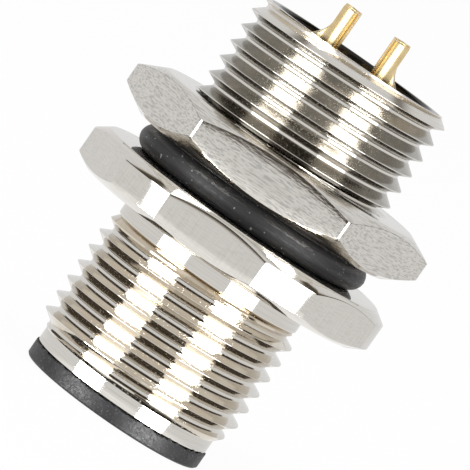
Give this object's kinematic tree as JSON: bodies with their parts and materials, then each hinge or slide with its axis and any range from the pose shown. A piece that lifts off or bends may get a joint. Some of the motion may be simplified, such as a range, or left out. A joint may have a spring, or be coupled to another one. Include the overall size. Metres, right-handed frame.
{
  "type": "circular connector",
  "caption": "Panel-mount circular connector with fine threads at both ends, hexagonal flange, rubber seal, lock nut, pin socket and solder cups.",
  "frame": {"origin": "centre of the mating end's face, on the connector's axis, where it stands on a surface", "axes": "+Z along the connector's axis from the mating end to the solder cups, -Y towards the viewer, +Y towards the coding rib"},
  "size_m": [0.0186, 0.018, 0.0248],
  "materials": {
    "nickel_shell": "turned brass with bright nickel plating",
    "nickel_nut": "drawn hexagonal brass bar with satin nickel plating",
    "black_rubber": "moulded rubber, matt",
    "black_plastic": "moulded glass-filled plastic, matt",
    "gold_plating": "turned brass with bright gold plating",
    "black_resin": "cast resin with a smooth surface"
  },
  "bodies": {
    "shell": {"housing_shell": "nickel_shell", "panel_seal_ring": "black_rubber", "contact_carrier": "black_plastic", "carrier_seal_ring": "black_rubber", "contact_1": "gold_plating", "contact_2": "gold_plating", "contact_3": "gold_plating", "contact_4": "gold_plating", "sealing_resin": "black_resin"},
    "nut": {"lock_nut": "nickel_nut"}
  },
  "joints": [
    {"name": "lock_nut_travel", "type": "slide", "parent": "shell", "child": "nut", "axis": [0, 0, 1], "range_m": [0, 0.006]}
  ]
}
